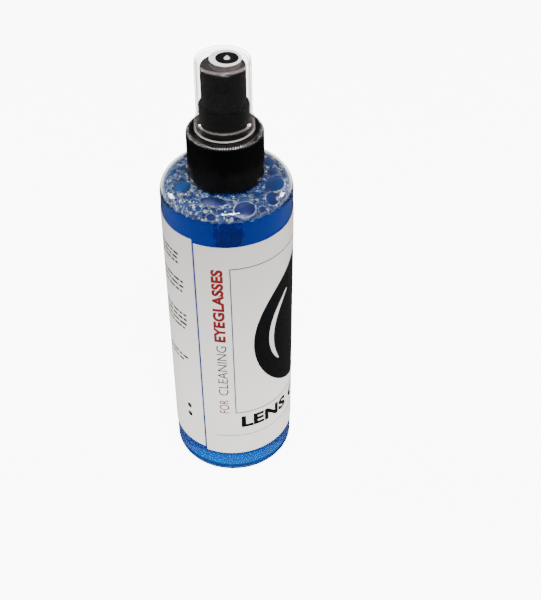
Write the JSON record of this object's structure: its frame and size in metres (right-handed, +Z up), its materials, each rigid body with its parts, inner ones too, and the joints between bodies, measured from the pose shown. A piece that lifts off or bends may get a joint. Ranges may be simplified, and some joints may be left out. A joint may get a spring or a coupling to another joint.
{
  "type": "lens cleaning spray bottle",
  "caption": "Slim clear round bottle of blue liquid with a wrap label, ribbed black screw closure, press-down mist actuator and clear pull-off overcap.",
  "frame": {"origin": "centre of the bottle's base, on the plane it stands on", "axes": "+Z up along the bottle's axis, -Y the way the nozzle sprays"},
  "size_m": [0.0484, 0.0484, 0.1814],
  "materials": {
    "clear_bottle": "clear blown plastic, glossy",
    "clear_overcap": "clear moulded plastic, glossy",
    "blue_liquid": "deep blue transparent liquid",
    "froth": "fine soap bubbles",
    "label_film": "light grey printed film, satin",
    "sticker_paper": "white gloss paper with a black printed disc",
    "black_plastic": "ribbed black moulding, glossy",
    "black_satin": "smooth black moulding",
    "natural_plastic": "uncoloured translucent moulding",
    "piston_plastic": "soft uncoloured moulding",
    "tube_plastic": "translucent extruded tube",
    "seal_rubber": "moulded seal",
    "seal_foam": "white closed-cell sheet",
    "spring_steel": "bright drawn stainless steel"
  },
  "bodies": {
    "bottle": {"bottle": "clear_bottle", "cleaning_liquid": "blue_liquid", "froth": "froth", "wrap_label": "label_film"},
    "pump": {"pump_housing": "natural_plastic", "retainer_ring": "natural_plastic", "stem_seal": "seal_rubber", "bottle_gasket": "seal_foam", "dip_tube": "tube_plastic", "return_spring": "spring_steel"},
    "closure": {"closure": "black_plastic"},
    "stem": {"stem": "natural_plastic", "poppet": "natural_plastic", "preload_spring": "spring_steel"},
    "piston": {"piston": "piston_plastic"},
    "actuator": {"actuator": "black_satin", "nozzle_insert": "black_satin"},
    "overcap": {"overcap": "clear_overcap", "overcap_sticker": "sticker_paper"},
    "check_ball": {"check_ball": "spring_steel"}
  },
  "joints": [
    {"name": "closure_rise", "type": "slide", "parent": "bottle", "child": "pump", "axis": [0, 0, 1], "range_m": [0, 0.00635]},
    {"name": "closure_turn", "type": "hinge", "parent": "pump", "child": "closure", "pos_m": [0, 0, 0.1449], "axis": [0, 0, 1], "range_deg": [0, 720]},
    {"name": "spray_press", "type": "slide", "parent": "pump", "child": "stem", "axis": [0, 0, -1], "range_m": [0, 0.0055], "stiffness_N_per_m": 1400, "springref_m": -0.004, "deforming": ["return_spring"]},
    {"name": "piston_valve", "type": "slide", "parent": "stem", "child": "piston", "axis": [0, 0, 1], "range_m": [0, 0.0008], "stiffness_N_per_m": 2500, "springref_m": -0.001, "deforming": ["preload_spring"]},
    {"name": "actuator_turn", "type": "hinge", "parent": "stem", "child": "actuator", "pos_m": [0, 0, 0.17], "axis": [0, 0, 1], "continuous": true},
    {"name": "overcap_pull", "type": "slide", "parent": "closure", "child": "overcap", "axis": [0, 0, 1], "range_m": [0, 0.03]},
    {"name": "ball_lift", "type": "slide", "parent": "pump", "child": "check_ball", "axis": [0, 0, 1], "range_m": [0, 0.0006]}
  ],
  "couplings": [
    {"joint": "closure_rise", "follows": "closure_turn", "m_per_rad": 0.0005053}
  ]
}
